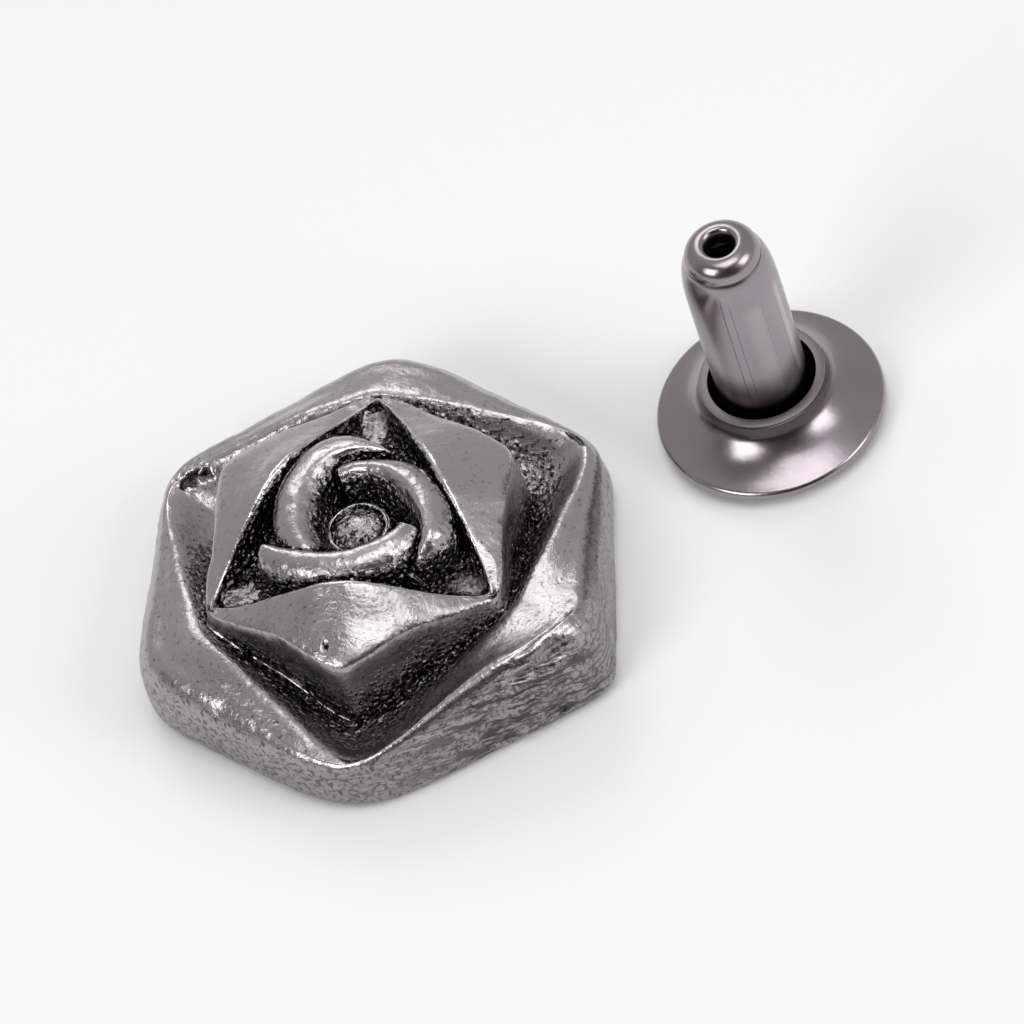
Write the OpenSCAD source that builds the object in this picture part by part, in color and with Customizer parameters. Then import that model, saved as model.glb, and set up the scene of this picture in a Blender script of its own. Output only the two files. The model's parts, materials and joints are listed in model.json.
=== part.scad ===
// Decorative leather rivet in two separate halves, millimetres, +Z up.
// The rose cap stands on its flat back, with the mouth of its post socket at the origin.
// The post half stands on its own cap beside it, stem upwards.

/* [Rose cap] */
// width of the cap across two flat sides of its hexagon
cap_flats = 14.1; // [13.9:0.05:15.5]
// height of the top of the inner petals above the cap's back
rose_height = 5.05; // [4.7:0.05:5.6]
// height of the outer petals where they lean on the inner block
outer_petal_height = 3.1; // [2.8:0.05:3.2]
// height of the low corners of the outer opening
outer_corner_height = 1.95; // [1.8:0.05:2.2]
// distance from the middle to a corner of the inner block
block_corner = 5.25; // [5.1:0.05:5.35]
// height of the block's three low corners, where the recess opens
block_low = 3.53; // [3.4:0.01:3.7]
// height of the tips of the block's three petals
block_tip = 3.91; // [3.8:0.01:4.1]
// height of the recess floor round the bud
recess_floor = 3.3; // [3.1:0.05:3.4]

/* [Curled petals and bud] */
// height of the crest of the three curled petals
curl_height = 4.95; // [4.7:0.05:5.2]
// how far the curled petals bulge outwards, as a share of the drawn width
curl_w = 1.0; // [0.85:0.05:1.1]
// radius of the thin ring on the bud
bud_r = 0.9; // [0.7:0.05:0.95]
// height of the ring on the bud
bud_height = 3.85; // [3.65:0.05:4.1]

/* [Post] */
// diameter of the post's tubular stem
stem_d = 2.84; // [2.6:0.02:2.9]
// height of the post from the back of its cap to the tip
post_height = 8.5; // [7.2:0.1:12]
// wall thickness of the drawn stem
stem_wall = 0.3; // [0.25:0.05:0.4]
// radius of the small rolled hole in the tip
tip_hole_r = 0.6; // [0.45:0.05:0.7]
// diameter of the post's round cap
post_cap_d = 7.0; // [6.8:0.1:8.4]
// thickness of the sheet of the post's cap
shell_t = 0.36; // [0.3:0.02:0.4]
// height of the cut edge of the collar round the stem
collar_height = 1.98; // [1.8:0.02:2.2]

/* [Fit and place] */
// gap all round between the stem and the cap's socket
socket_gap = 0.05; // [0.03:0.01:0.1]
// depth of the socket in the cap's back
socket_depth = 2.3; // [1.8:0.1:2.5]
// gap all round between the stem and the collar
collar_gap = 0.23; // [0.15:0.01:0.3]
// where the post stands, to the right of the cap's middle
post_x = 11.39; // [11.2:0.01:16]
// where the post stands, behind the cap's middle
post_y = 6.23; // [6:0.01:10]

/* [Hidden] */
$fn = 96;
grey_cast = [0.36, 0.34, 0.35];
grey_stem = [0.42, 0.39, 0.41];
grey_shell = [0.38, 0.36, 0.38];

// The relief is a stack of closed rings, each with a radius and a height at every direction.
// A ring is written by its values from an outer corner (0) to a block corner (60 degrees).
columns = 96;
k_flat = cap_flats / 14.1;
k_block = block_corner / 5.25;
apothem = cap_flats / 2;
stem_r = stem_d / 2;
socket_r = stem_r + socket_gap;

// side directions and distances of the slightly uneven cast outline
side_dir = [6, 60, 120, 180, 240, 300, 270, 90, 210];
side_dist = [1.005, 1.0, 1.0, 1.0, 1.0, 1.0, 1.09, 1.1, 1.15] * apothem;
side_power = 22;

// smooth curve through a table's seven values, with sharp turns at both ends
function ramp(t, d) =
    let (x = d / 10, i = min(floor(x), 5), f = x - i, p1 = t[i], p2 = t[i + 1],
        p0 = i > 0 ? t[i - 1] : 2 * p1 - p2, p3 = i < 5 ? t[i + 2] : 2 * p2 - p1)
    p1 + 0.5 * f * (p2 - p0 + f * (2 * p0 - 5 * p1 + 4 * p2 - p3 + f * (3 * (p1 - p2) + p3 - p0)));
function fold120(a) = (a - 30) - 120 * floor((a - 30) / 120);
function from_corner(a) = fold120(a) < 60 ? fold120(a) : 120 - fold120(a);
function side_term(i, a) = pow(max(0, cos(a - side_dir[i])) / side_dist[i], side_power);
function side_sum(i, a) = i < 0 ? 0 : side_term(i, a) + side_sum(i - 1, a);
function outline(a) = pow(side_sum(len(side_dir) - 1, a), -1 / side_power);
// the casting stands higher at its front right corner
function swell(a, middle, spread) = let (d = a - middle - 360 * round((a - middle) / 360)) exp(-pow(d / spread, 2));
function lift(a) = 0.88 * swell(a, 313, 38);

// outer petals: shoulder over the side wall, and the crest round the opening
shoulder_in = [0.16, 0.28, 0.40, 0.48, 0.52, 0.52, 0.50] * k_flat;
shoulder_z = [0.94, 1.04, 1.13, 1.20, 1.27, 1.33, 1.36] * outer_corner_height;
wall_z = [0.72, 0.78, 0.84, 0.90, 0.96, 1.00, 1.03] * outer_corner_height;
crest_turn = 3.75;
crest_r = [7.45, 6.75, 6.10, 5.75, 5.55, 5.45, 5.55] * k_flat;
crest_k = [0, 0.22, 0.48, 0.70, 0.87, 0.96, 1];
crest_z = [for (k = crest_k) outer_corner_height + k * (outer_petal_height - outer_corner_height)];
// the valley between the outer petals and the block
valley_k = [1.2, 1.32, 1.62, 1.90, 2.22, 2.58, 2.90];
// the block's edge, and the raised edge of the recess in it
block_r = [0.990, 0.922, 0.868, 0.846, 0.868, 0.922, 0.990] * block_corner;
block_k = [0, 0.10, 0.16, 0.10, -0.12, -0.52, -1];
block_z = [for (k = block_k) k >= 0 ? block_tip + k : block_tip + k * (block_tip - block_low)];
rim_r = [2.80, 2.84, 2.97, 3.20, 3.58, 4.16, 4.98] * k_block;
rim_k = [1, 0.967, 0.868, 0.704, 0.493, 0.230, 0];
rim_z = [for (k = rim_k) block_low + k * (rose_height - block_low)];
foot_in = [0.20, 0.20, 0.22, 0.26, 0.34, 0.46, 0.62] * k_block;

function wall_r(a) = outline(a);
function sh_r(a) = outline(a) - ramp(shoulder_in, from_corner(a));
function cr_r(a) = min(ramp(crest_r, from_corner(a - crest_turn)), sh_r(a) - 0.08);
function bl_r(a) = ramp(block_r, from_corner(a));
function ri_r(a) = ramp(rim_r, from_corner(a));
function cr_z(a) = ramp(crest_z, from_corner(a - crest_turn));
function sh_z(a) = ramp(shoulder_z, from_corner(a)) + lift(a);
function wa_z(a) = ramp(wall_z, from_corner(a)) + 1.05 * lift(a);
function bl_z(a) = ramp(block_z, from_corner(a));
function ri_z(a) = ramp(rim_z, from_corner(a));
function mix(a, b, t) = a + (b - a) * t;
function valley_r(a, t) = mix(bl_r(a) + 0.10, cr_r(a) - 0.06, t);
function valley_z(a) = ramp(valley_k, from_corner(a)) * outer_petal_height / 3.1;

// every ring as [radius, height] in direction a, from the back up and over to the middle
function ring_at(i, a) =
    i == 0 ? [wall_r(a) - 0.42, 0]
    : i == 1 ? [wall_r(a) - 0.14, 0.12]
    : i == 2 ? [wall_r(a) - 0.02, 0.38]
    : i == 3 ? [wall_r(a), 0.8]
    : i == 4 ? [wall_r(a) - 0.06, wa_z(a) - 0.25]
    : i == 5 ? [mix(wall_r(a), sh_r(a), 0.40), wa_z(a) + 0.22]
    : i == 6 ? [sh_r(a), sh_z(a)]
    : i == 7 ? [mix(sh_r(a), cr_r(a), 0.35), mix(sh_z(a), cr_z(a), 0.38)]
    : i == 8 ? [mix(sh_r(a), cr_r(a), 0.70), mix(sh_z(a), cr_z(a), 0.72)]
    : i == 9 ? [cr_r(a), cr_z(a)]
    : i == 10 ? [mix(cr_r(a), bl_r(a) + 0.10, 0.08) - 0.02, cr_z(a) - 0.10]
    : i == 11 ? [valley_r(a, 0.45), mix(cr_z(a), valley_z(a), 0.80)]
    : i == 12 ? [valley_r(a, 0.06), valley_z(a)]
    : i == 13 ? [bl_r(a) + 0.06, valley_z(a) + 0.06]
    : i == 14 ? [bl_r(a) + 0.02, mix(valley_z(a), bl_z(a), 0.60)]
    : i == 15 ? [bl_r(a) - 0.03, bl_z(a) - 0.10]
    : i == 16 ? [bl_r(a) - 0.10, bl_z(a)]
    : i == 17 ? [mix(bl_r(a), ri_r(a), 0.50), mix(bl_z(a), ri_z(a), 0.47)]
    : i == 18 ? [mix(bl_r(a) - 0.1, ri_r(a) + 0.02, 0.92), mix(bl_z(a), ri_z(a), 0.93)]
    : i == 19 ? [ri_r(a) - 0.02, ri_z(a)]
    : i == 20 ? [ri_r(a) - 0.10, ri_z(a) - 0.12]
    : i == 21 ? [ri_r(a) - ramp(foot_in, from_corner(a)), mix(ri_z(a), recess_floor, 0.80)]
    : i == 22 ? [mix(ri_r(a) - ramp(foot_in, from_corner(a)), 2.1 * k_block, 0.5), recess_floor + 0.05]
    : [1.1 * k_block, recess_floor];
ring_count = 24;

function turn(p, a) = [p[0] * cos(a), p[0] * sin(a), p[1]];
relief_points = concat(
    [[0, 0, 0]],
    [for (i = [0:ring_count - 1]) for (j = [0:columns - 1]) turn(ring_at(i, 360 * j / columns), 360 * j / columns)],
    [[0, 0, recess_floor]]);
function at(i, j) = 1 + i * columns + (j % columns);
top_point = 1 + ring_count * columns;
relief_faces = concat(
    [for (j = [0:columns - 1]) [0, at(0, j), at(0, j + 1)]],
    [for (i = [0:ring_count - 2]) for (j = [0:columns - 1]) [at(i, j), at(i + 1, j), at(i + 1, j + 1)]],
    [for (i = [0:ring_count - 2]) for (j = [0:columns - 1]) [at(i, j), at(i + 1, j + 1), at(i, j + 1)]],
    [for (j = [0:columns - 1]) [at(ring_count - 1, j), top_point, at(ring_count - 1, j + 1)]]);

module relief() {
    polyhedron(points = relief_points, faces = relief_faces, convexity = 8);
}

// One curled petal: a rounded band swept clockwise along a spiral, from inside the pit to the recess wall.
// Its tables run along the spiral: direction, inner and outer radius, and how far its crest lies under the highest.
curl_steps = 24;
curl_dir = [216, 200, 180, 160, 140, 120, 105, 92, 80];
curl_in = [1.45, 1.25, 1.13, 1.10, 1.22, 1.45, 1.72, 2.08, 2.55];
curl_out = [2.15, 2.30, 2.42, 2.62, 2.88, 3.12, 3.24, 3.24, 3.08];
curl_drop = [0.45, 0.20, 0.05, 0.00, 0.00, 0.05, 0.18, 0.35, 0.60];
function along(table, a) = lookup(-a, [for (i = [0:8]) [-curl_dir[i], table[i]]]);
// section of the band: place across it from the inner to the outer side, and depth under its crest
curl_section = [[0, -9], [0.02, -1.0], [0.08, -0.45], [0.16, -0.16], [0.28, -0.03], [0.42, 0.0], [0.58, -0.06],
    [0.74, -0.20], [0.88, -0.42], [0.99, -0.72], [1, -9]];
curl_base = recess_floor - 0.3;
function curl_z(a, d) = d < -5 ? curl_base : max(curl_height - along(curl_drop, a) + d, curl_base + 0.2);
function curl_point(s, k) =
    let (a = curl_dir[0] + (curl_dir[8] - curl_dir[0]) * s / curl_steps, r0 = along(curl_in, a), w = along(curl_out, a) - r0)
    turn([k_block * (r0 + curl_section[k][0] * w * curl_w), curl_z(a, curl_section[k][1])], a);
curl_n = len(curl_section);
curl_points = [for (s = [0:curl_steps]) for (k = [0:curl_n - 1]) curl_point(s, k)];
curl_faces = concat(
    [[for (k = [0:curl_n - 1]) curl_n - 1 - k]],
    [for (s = [0:curl_steps - 1]) for (k = [0:curl_n - 1])
        [s * curl_n + k, s * curl_n + (k + 1) % curl_n, (s + 1) * curl_n + k]],
    [for (s = [0:curl_steps - 1]) for (k = [0:curl_n - 1])
        [(s + 1) * curl_n + k, s * curl_n + (k + 1) % curl_n, (s + 1) * curl_n + (k + 1) % curl_n]],
    [[for (k = [0:curl_n - 1]) curl_steps * curl_n + k]]);

module curl() {
    polyhedron(points = curl_points, faces = curl_faces, convexity = 4);
}

// The bud: a low rough dome inside a thin raised ring, at the bottom of the pit.
k_bud = bud_r / 0.9;
module bud() {
    rotate_extrude($fn = 36)
        polygon([[0, recess_floor - 0.3], [1.3 * k_bud, recess_floor - 0.3], [1.3 * k_bud, bud_height - 0.28],
            [bud_r + 0.06, bud_height - 0.10], [bud_r + 0.02, bud_height], [bud_r - 0.03, bud_height],
            [bud_r - 0.07, bud_height - 0.10], [bud_r - 0.35 * k_bud, bud_height + 0.0],
            [0.25 * k_bud, bud_height + 0.08], [0, bud_height + 0.1]]);
}

module socket() {
    translate([0, 0, -1]) cylinder(h = 1 + socket_depth, r = socket_r);
}

module rose_cap() {
    color(grey_cast)
    difference() {
        union() {
            relief();
            curl();
            rotate([0, 0, 120]) curl();
            rotate([0, 0, 240]) curl();
            bud();
        }
        socket();
    }
}

// Post: a drawn tube with a flange at its foot and a rolled-in tip.
flange_r = post_cap_d / 2 - shell_t - 0.12;
flange_t = stem_wall;
foot_h = collar_height - 0.08;
tip_edge_r = stem_r - 0.30;
tip_top_r = tip_hole_r + 0.16;
// the tapered end, as drop below the tip and distance in from the stem's side
tip_taper = [[1.9, 0], [1.55, 0.02], [1.2, 0.06], [1.0, 0.11], [0.85, 0.19], [0.72, 0.30]];
tip_dome = [[0, 1], [0.25, 0.92], [0.47, 0.76], [0.66, 0.57], [0.82, 0.37], [0.93, 0.18], [1, 0]];
stem_profile = concat(
    [[stem_r - stem_wall, shell_t],
        [flange_r, shell_t],
        [flange_r, shell_t + flange_t],
        [stem_r + 0.25, shell_t + flange_t],
        [stem_r + 0.10, shell_t + flange_t + 0.08],
        [stem_r + 0.04, shell_t + flange_t + 0.30],
        [stem_r, foot_h]],
    [for (p = tip_taper) [stem_r - p[1], post_height - p[0]]],
    [for (p = tip_dome) [tip_top_r + (tip_edge_r - 0.02 - tip_top_r) * p[1], post_height - 0.70 * (1 - p[0])]],
    [[tip_hole_r + 0.08, post_height - 0.02],
        [tip_hole_r + 0.02, post_height - 0.08],
        [tip_hole_r, post_height - 0.18],
        [tip_hole_r - 0.03, post_height - 0.45],
        [tip_hole_r + 0.02, post_height - 0.70],
        [stem_r - stem_wall - 0.12, post_height - 0.95],
        [stem_r - stem_wall, post_height - 1.35]]);
module post_stem() {
    color(grey_stem)
    translate([post_x, post_y, 0])
    rotate_extrude() polygon(stem_profile);
}

// Post cap: one sheet, folded over the stem's flange and flared up into a collar.
cap_r = post_cap_d / 2;
collar_in = stem_r + collar_gap;
collar_out = collar_in + shell_t;
// shares by which the bulge's widths and heights follow the cap's size and the collar's height
k_w = (cap_r - collar_out) / 1.49;
k_h = collar_height / 1.98;
module post_shell() {
    color(grey_shell)
    translate([post_x, post_y, 0])
    rotate_extrude()
        polygon([
            [0, 0],
            [cap_r - 1.0 * k_w, 0],
            [cap_r - 0.60 * k_w, 0.06 * k_h],
            [cap_r - 0.28 * k_w, 0.17 * k_h],
            [cap_r - 0.09 * k_w, 0.31 * k_h],
            [cap_r, 0.45 * k_h],
            [cap_r - 0.03 * k_w, 0.53 * k_h],
            [cap_r - 0.11 * k_w, 0.64 * k_h],
            [cap_r - 0.25 * k_w, 0.78 * k_h],
            [cap_r - 0.44 * k_w, 0.92 * k_h],
            [cap_r - 0.66 * k_w, 1.05 * k_h],
            [cap_r - 0.88 * k_w, 1.16 * k_h],
            [cap_r - 1.08 * k_w, 1.28 * k_h],
            [collar_out + 0.24 * k_w, 1.42 * k_h],
            [collar_out + 0.12 * k_w, 1.58 * k_h],
            [collar_out + 0.04 * k_w, 1.77 * k_h],
            [collar_out, collar_height],
            [collar_in, collar_height],
            [collar_in, 1.60 * k_h],
            [collar_in + 0.12 * k_w, 1.34 * k_h],
            [collar_in + 0.42 * k_w, 1.06 * k_h],
            [cap_r - 1.14 * k_w, 0.84 * k_h],
            [cap_r - 0.80 * k_w, shell_t + flange_t],
            [flange_r + 0.04, shell_t + flange_t],
            [flange_r + 0.04, shell_t],
            [0, shell_t]]);
}

rose_cap();
post_stem();
post_shell();
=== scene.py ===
"""A two-part leather rivet: a cast rose cap, and a post made of a drawn stem in a stamped cap."""
import json
import math

import bmesh
import bpy
import numpy as np
from bpy.props import FloatProperty, FloatVectorProperty, IntProperty, PointerProperty
from bpy.types import Operator, Panel, PropertyGroup
from mathutils import Matrix, Vector, noise
from mathutils.bvhtree import BVHTree

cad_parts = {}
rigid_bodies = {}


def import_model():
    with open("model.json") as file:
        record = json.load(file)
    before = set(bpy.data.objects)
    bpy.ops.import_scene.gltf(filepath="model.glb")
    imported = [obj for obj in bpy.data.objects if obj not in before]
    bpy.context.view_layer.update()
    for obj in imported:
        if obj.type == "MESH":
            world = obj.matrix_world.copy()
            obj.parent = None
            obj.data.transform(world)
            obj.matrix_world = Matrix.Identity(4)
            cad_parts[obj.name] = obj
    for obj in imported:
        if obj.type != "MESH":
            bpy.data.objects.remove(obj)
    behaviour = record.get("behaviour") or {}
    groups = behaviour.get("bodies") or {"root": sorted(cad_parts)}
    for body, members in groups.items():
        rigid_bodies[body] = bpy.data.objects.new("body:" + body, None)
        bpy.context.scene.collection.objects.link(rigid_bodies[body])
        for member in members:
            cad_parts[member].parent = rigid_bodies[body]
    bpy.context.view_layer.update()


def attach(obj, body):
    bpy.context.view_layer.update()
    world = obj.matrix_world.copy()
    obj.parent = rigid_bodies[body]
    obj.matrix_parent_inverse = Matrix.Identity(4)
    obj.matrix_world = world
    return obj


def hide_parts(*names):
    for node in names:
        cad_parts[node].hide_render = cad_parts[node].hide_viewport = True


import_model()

bl_info = {
    "name": "Leather Rivet",
    "version": (1, 0, 0),
    "blender": (4, 5, 0),
    "location": "3D View > Sidebar > Rivet",
    "description": "Builds a cast rose cap and its tubular post with worn dark metal finishes",
    "category": "Object",
}

MM = 0.001
COLOUR = {"size": 4, "min": 0.0, "max": 1.0, "subtype": "COLOR"}


# Settings


class RoseCapSettings(PropertyGroup):
    """Sizes and finish of the cast rose cap."""

    columns: IntProperty(
        name="Columns",
        description="Columns of the first lofted cage round the cap",
        default=120,
        min=60,
        max=180,
    )
    curl_height: FloatProperty(
        name="Curl Height",
        description="Height of the highest curled petal above the back",
        default=4.95 * MM,
        unit="LENGTH",
    )
    metal: FloatVectorProperty(
        name="Cast Metal",
        description="Colour of the satin casting",
        default=(0.475, 0.439, 0.455, 1.0),
        **COLOUR,
    )
    worn: FloatVectorProperty(
        name="Worn Metal",
        description="Colour of edges rubbed bright",
        default=(0.70, 0.665, 0.675, 1.0),
        **COLOUR,
    )
    patina: FloatVectorProperty(
        name="Patina",
        description="Colour of the black finish left in the hollows",
        default=(0.018, 0.015, 0.016, 1.0),
        **COLOUR,
    )
    fold_depth: FloatProperty(
        name="Fold Depth",
        description="Depth of the casting fold in the front right side",
        default=0.16 * MM,
        unit="LENGTH",
    )


class PostSettings(PropertyGroup):
    """Sizes and finish of the post."""

    across: FloatProperty(
        name="Post Cap Diameter",
        description="Outside diameter of the stamped cap",
        default=7.0 * MM,
        unit="LENGTH",
    )
    stem_across: FloatProperty(
        name="Stem Diameter",
        description="Outside diameter of the drawn stem",
        default=2.84 * MM,
        unit="LENGTH",
    )
    height: FloatProperty(
        name="Post Height",
        description="Height of the post over its back",
        default=8.5 * MM,
        unit="LENGTH",
    )
    metal: FloatVectorProperty(
        name="Plated Metal",
        description="Colour of the dark plating",
        default=(0.375, 0.335, 0.354, 1.0),
        **COLOUR,
    )


class StageSettings(PropertyGroup):
    """Floor, light and camera."""

    floor_colour: FloatVectorProperty(
        name="Floor Colour",
        description="Colour of the plain pale floor",
        default=(0.95, 0.95, 0.95, 1.0),
        **COLOUR,
    )
    light_level: FloatProperty(
        name="Light Level",
        description="Share by which all lamps are turned up or down",
        default=0.96,
        min=0.0,
        max=4.0,
    )
    lens: FloatProperty(
        name="Lens",
        description="Focal length of the camera",
        default=281.25,
        unit="CAMERA",
    )


# Helpers for meshes


def deselect_all():
    for obj in bpy.context.view_layer.objects:
        obj.select_set(False)


def pick(obj):
    deselect_all()
    obj.select_set(True)
    bpy.context.view_layer.objects.active = obj


def apply_modifier(obj, kind, **values):
    pick(obj)
    mod = obj.modifiers.new(kind.title(), kind)
    for key, value in values.items():
        setattr(mod, key, value)
    bpy.ops.object.modifier_apply(modifier=mod.name)


def mix(a, b, t):
    return a + (b - a) * t


def unit(values):
    """Holds values between 0 and 1."""
    return np.clip(values, 0, 1)


def polar(co):
    """Distance from the middle and direction in degrees of every vertex."""
    return np.hypot(co[:, 0], co[:, 1]), np.degrees(np.arctan2(co[:, 1], co[:, 0]))


def ring_points(ways, radius, height):
    """Points at directions in degrees, with their distance from the middle and their height."""
    rad = np.radians(ways)
    return np.stack([radius * np.cos(rad), radius * np.sin(rad), height], axis=-1)


def ease_in_out(t):
    return t * t * (3 - 2 * t)


def bell_curve(distance, width):
    """1 on the line, falling off to 0 a few widths away."""
    return np.exp(-((distance / width) ** 2))


def smooth_between(points, gaps, t):
    """The point at share t between the middle two of four points, by the roots of the gaps between them."""
    p0, p1, p2, p3 = points
    h0, h1, h2 = gaps
    m1 = ((p2 - p1) / h1 * h0 + (p1 - p0) / h0 * h1) / (h0 + h1) * h1
    m2 = ((p3 - p2) / h2 * h1 + (p2 - p1) / h1 * h2) / (h1 + h2) * h1
    return (
        p1 * (2 * t**3 - 3 * t**2 + 1)
        + m1 * (t**3 - 2 * t**2 + t)
        + p2 * (-2 * t**3 + 3 * t**2)
        + m2 * (t**3 - t**2)
    )


def sharp_curve(points, steps):
    """Points along a smooth curve through the given ones, without loops where they lie close together."""
    pts = [Vector(p) for p in points]
    ends = [pts[0] * 2 - pts[1]] + pts + [pts[-1] * 2 - pts[-2]]
    out = []
    for i in range(1, len(ends) - 2):
        p0, p1, p2, p3 = ends[i - 1 : i + 3]
        h0 = max((p1 - p0).length, 1e-5) ** 0.5
        h1 = max((p2 - p1).length, 1e-5) ** 0.5
        h2 = max((p3 - p2).length, 1e-5) ** 0.5
        out += [smooth_between((p0, p1, p2, p3), (h0, h1, h2), k / steps) for k in range(steps)]
    out.append(pts[-1])
    return out


def open_loop(name, count):
    """A closed loop of vertices without a face, to be moved into place."""
    deselect_all()
    bpy.ops.mesh.primitive_circle_add(vertices=count, radius=1.0, fill_type="NOTHING", location=(0, 0, 0))
    obj = bpy.context.object
    obj.name = name
    obj.data.name = name
    return obj


def spun_piece(name, profile, centre, steps):
    """Spins a closed outline of (radius, height) in mm about an upright axis through centre."""
    obj = open_loop(name, len(profile))
    for v, p in zip(obj.data.vertices, profile):
        v.co = (p[0], 0.0, p[1])
    bpy.ops.object.mode_set(mode="EDIT")
    bpy.ops.mesh.select_all(action="SELECT")
    bpy.ops.mesh.spin(steps=steps, angle=2 * math.pi, center=(0, 0, 0), axis=(0, 0, 1))
    bpy.ops.mesh.select_all(action="SELECT")
    bpy.ops.mesh.remove_doubles(threshold=0.0005)
    bpy.ops.mesh.normals_make_consistent(inside=False)
    bpy.ops.object.mode_set(mode="OBJECT")
    obj.data.transform(Matrix.Translation(Vector((*centre, 0)) * MM) @ Matrix.Scale(MM, 4))
    return obj


def lofted_tube(name, rings):
    """Extrudes a loop of vertices ring by ring, and keeps each vertex's ring as an attribute."""
    count, around = rings.shape[:2]
    obj = open_loop(name, around)
    mesh = obj.data
    mesh.vertices.foreach_set("co", rings[0].astype(np.float32).ravel())
    column = mesh.attributes.new("column", "INT", "POINT")
    column.data.foreach_set("value", np.arange(around, dtype=np.int32))
    mesh.attributes.new("ring", "FLOAT", "POINT")
    bpy.ops.object.mode_set(mode="EDIT")
    bpy.ops.mesh.select_all(action="SELECT")
    for i in range(1, count):
        bpy.ops.mesh.extrude_region_move()
        bm = bmesh.from_edit_mesh(mesh)
        col = bm.verts.layers.int["column"]
        row = bm.verts.layers.float["ring"]
        for v in bm.verts:
            if v.select:
                v.co = rings[i][v[col]]
                v[row] = float(i)
        bmesh.update_edit_mesh(mesh)
    return obj


def move_vertices(mesh, co):
    mesh.vertices.foreach_set("co", co.astype(np.float32).ravel())
    mesh.update()


def fill_first_loop(mesh):
    """Closes the loop of ring 0 with a face, turns all faces outwards and leaves edit mode."""
    bm = bmesh.from_edit_mesh(mesh)
    row = bm.verts.layers.float["ring"]
    for f in bm.faces:
        f.select = False
    for v in bm.verts:
        v.select = v[row] == 0.0
    for e in bm.edges:
        e.select = e.verts[0].select and e.verts[1].select
    bmesh.update_edit_mesh(mesh)
    bpy.ops.mesh.edge_face_add()
    bpy.ops.mesh.select_all(action="SELECT")
    bpy.ops.mesh.normals_make_consistent(inside=False)
    bpy.ops.object.mode_set(mode="OBJECT")


def close_with_point(mesh, ring):
    """Extrudes the selected last loop once more and merges it in its middle."""
    bpy.ops.mesh.extrude_region_move()
    bpy.ops.mesh.merge(type="CENTER")
    bm = bmesh.from_edit_mesh(mesh)
    row = bm.verts.layers.float["ring"]
    for v in bm.verts:
        if v.select:
            v[row] = float(ring)
    bmesh.update_edit_mesh(mesh)


# The post, in mm
POST_CENTRE = (11.39, 6.23)
STEM_WALL = 0.3
SHELL_T = 0.36
COLLAR_Z = 1.98
COLLAR_GAP = 0.23
FLANGE_TOP = 0.66


# Shape of the rose relief, in mm, by direction in degrees round the cap


FLATS = 14.1
APOTHEM = FLATS / 2
PETAL_Z = 3.1
CORNER_Z = 1.95
BLOCK_CORNER = 5.25
BLOCK_LOW = 3.53
BLOCK_TIP = 3.91
ROSE_Z = 5.05
PIT_Z = 3.3
SOCKET_R = 1.47
SOCKET_DEEP = 2.3
BUD_R = 0.9
BUD_Z = 3.85
OUTLINE_POWER = 22
# the hexagon's sides, and three far ones that ease its front, rear and left corners: direction and distance
OUTLINE_SIDES = (
    (6, 1.005), (60, 1), (120, 1), (180, 1), (240, 1), (300, 1), (270, 1.09), (90, 1.1), (210, 1.15),
)


def ramp(table, d):
    t = np.asarray(table, float)
    x = d / 10.0
    i = np.minimum(np.floor(x).astype(int), 5)
    f = x - i
    p1 = t[i]
    p2 = t[i + 1]
    p0 = np.where(i > 0, t[np.maximum(i - 1, 0)], 2 * p1 - p2)
    p3 = np.where(i < 5, t[np.minimum(i + 2, 6)], 2 * p2 - p1)
    return p1 + 0.5 * f * (
        p2 - p0 + f * (2 * p0 - 5 * p1 + 4 * p2 - p3 + f * (3 * (p1 - p2) + p3 - p0))
    )


def from_corner(a):
    f = np.mod(a - 30.0, 120.0)
    return np.where(f < 60.0, f, 120.0 - f)


def outline(a):
    total = 0.0
    for way, far in OUTLINE_SIDES:
        facing = np.maximum(0, np.cos(np.radians(a - way)))
        total = total + (facing / (far * APOTHEM)) ** OUTLINE_POWER
    return total ** (-1 / OUTLINE_POWER)


def front_lift(a):
    d = a - 313.0
    d = d - 360.0 * np.round(d / 360.0)
    return 0.88 * bell_curve(d, 38.0)


def steps_between(low, high, shares):
    return [low + (high - low) * k for k in shares]


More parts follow.
